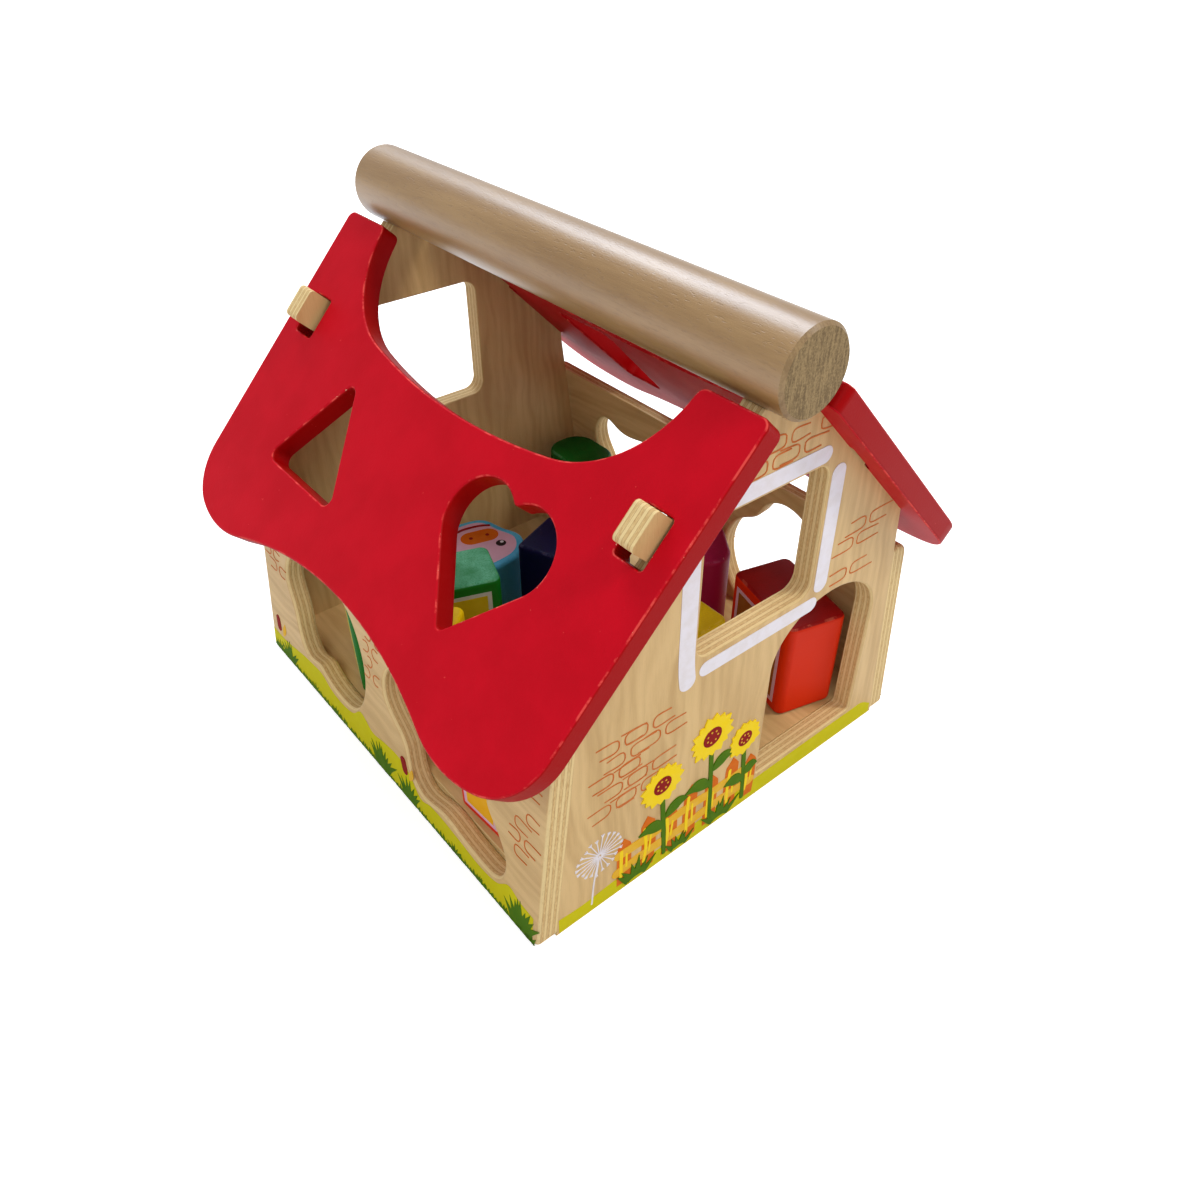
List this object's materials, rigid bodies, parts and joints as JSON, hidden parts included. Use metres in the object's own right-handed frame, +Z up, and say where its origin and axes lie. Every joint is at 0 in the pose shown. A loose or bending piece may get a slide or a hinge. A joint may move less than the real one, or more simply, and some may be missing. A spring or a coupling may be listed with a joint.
{
  "type": "toy house shape sorter",
  "caption": "Wooden toy house shape sorter with lift-off red roof boards cut with shape holes, a ridge rod handle and loose painted blocks inside.",
  "frame": {"origin": "on the ground, midway between the outermost points in X and in Y", "axes": "+X towards the right side wall, +Y from the front gable with the door to the rear gable, +Z up"},
  "size_m": [0.2364, 0.2454, 0.2181],
  "materials": {
    "left_wall": "clear matt lacquer on birch plywood",
    "right_wall": "clear matt lacquer on birch plywood",
    "front_gable": "clear matt lacquer on birch plywood",
    "rear_gable": "clear matt lacquer on birch plywood",
    "floor_panel": "clear matt lacquer on birch plywood",
    "ridge_rod": "clear satin lacquer on beech",
    "corner_pins": "bare beech",
    "floor_pins": "bare beech",
    "ridge_pins": "bare beech",
    "left_roof": "satin red paint on plywood",
    "right_roof": "satin red paint on plywood",
    "orange_block": "satin paint and a printed face on solid wood",
    "maroon_block": "satin paint and a printed face on solid wood",
    "sand_block": "satin paint and a printed face on solid wood",
    "navy_block": "satin paint and a printed face on solid wood",
    "forest_block": "satin paint and a printed face on solid wood",
    "green_block": "satin paint and a printed face on solid wood",
    "yellow_block": "satin paint and a printed face on solid wood",
    "red_block": "satin paint and a printed face on solid wood",
    "sky_block": "satin paint and a printed face on solid wood"
  },
  "bodies": {
    "house": {"left_wall": "left_wall", "right_wall": "right_wall", "front_gable": "front_gable", "rear_gable": "rear_gable", "floor_panel": "floor_panel", "ridge_rod": "ridge_rod", "corner_pins": "corner_pins", "floor_pins": "floor_pins", "ridge_pins": "ridge_pins"},
    "left_roof": {"left_roof": "left_roof"},
    "right_roof": {"right_roof": "right_roof"},
    "orange_block": {"orange_block": "orange_block"},
    "green_block": {"green_block": "green_block"},
    "yellow_block": {"yellow_block": "yellow_block"},
    "red_block": {"red_block": "red_block"},
    "maroon_block": {"maroon_block": "maroon_block"},
    "forest_block": {"forest_block": "forest_block"},
    "sand_block": {"sand_block": "sand_block"},
    "navy_block": {"navy_block": "navy_block"},
    "sky_block": {"sky_block": "sky_block"}
  },
  "joints": [
    {"name": "left_roof_lift", "type": "slide", "parent": "house", "child": "left_roof", "axis": [-0.7133, 0, 0.7009], "range_m": [0, 0.06]},
    {"name": "right_roof_lift", "type": "slide", "parent": "house", "child": "right_roof", "axis": [0.7133, 0, 0.7009], "range_m": [0, 0.06]},
    {"name": "orange_block_slide_out", "type": "slide", "parent": "house", "child": "orange_block", "axis": [-0.2588, -0.9659, 0], "range_m": [0, 0.085]},
    {"name": "green_block_lift", "type": "slide", "parent": "house", "child": "green_block", "axis": [0.498, -0.1812, 0.848], "range_m": [0, 0.022]},
    {"name": "yellow_block_lift", "type": "slide", "parent": "house", "child": "yellow_block", "axis": [0.1184, 0, 0.993], "range_m": [0, 0.045]},
    {"name": "red_block_lift", "type": "slide", "parent": "house", "child": "red_block", "axis": [0.225, 0, 0.9744], "range_m": [0, 0.05]},
    {"name": "maroon_block_lift", "type": "slide", "parent": "house", "child": "maroon_block", "axis": [-0.1184, 0, 0.993], "range_m": [0, 0.045]},
    {"name": "forest_block_lift", "type": "slide", "parent": "house", "child": "forest_block", "axis": [-0.1184, 0, 0.993], "range_m": [0, 0.045]},
    {"name": "sand_block_lift", "type": "slide", "parent": "house", "child": "sand_block", "axis": [0, 0, 1], "range_m": [0, 0.07]},
    {"name": "navy_block_lift", "type": "slide", "parent": "house", "child": "navy_block", "axis": [0, 0, 1], "range_m": [0, 0.08]},
    {"name": "sky_block_lift", "type": "slide", "parent": "house", "child": "sky_block", "axis": [0, 0, 1], "range_m": [0, 0.08]}
  ]
}
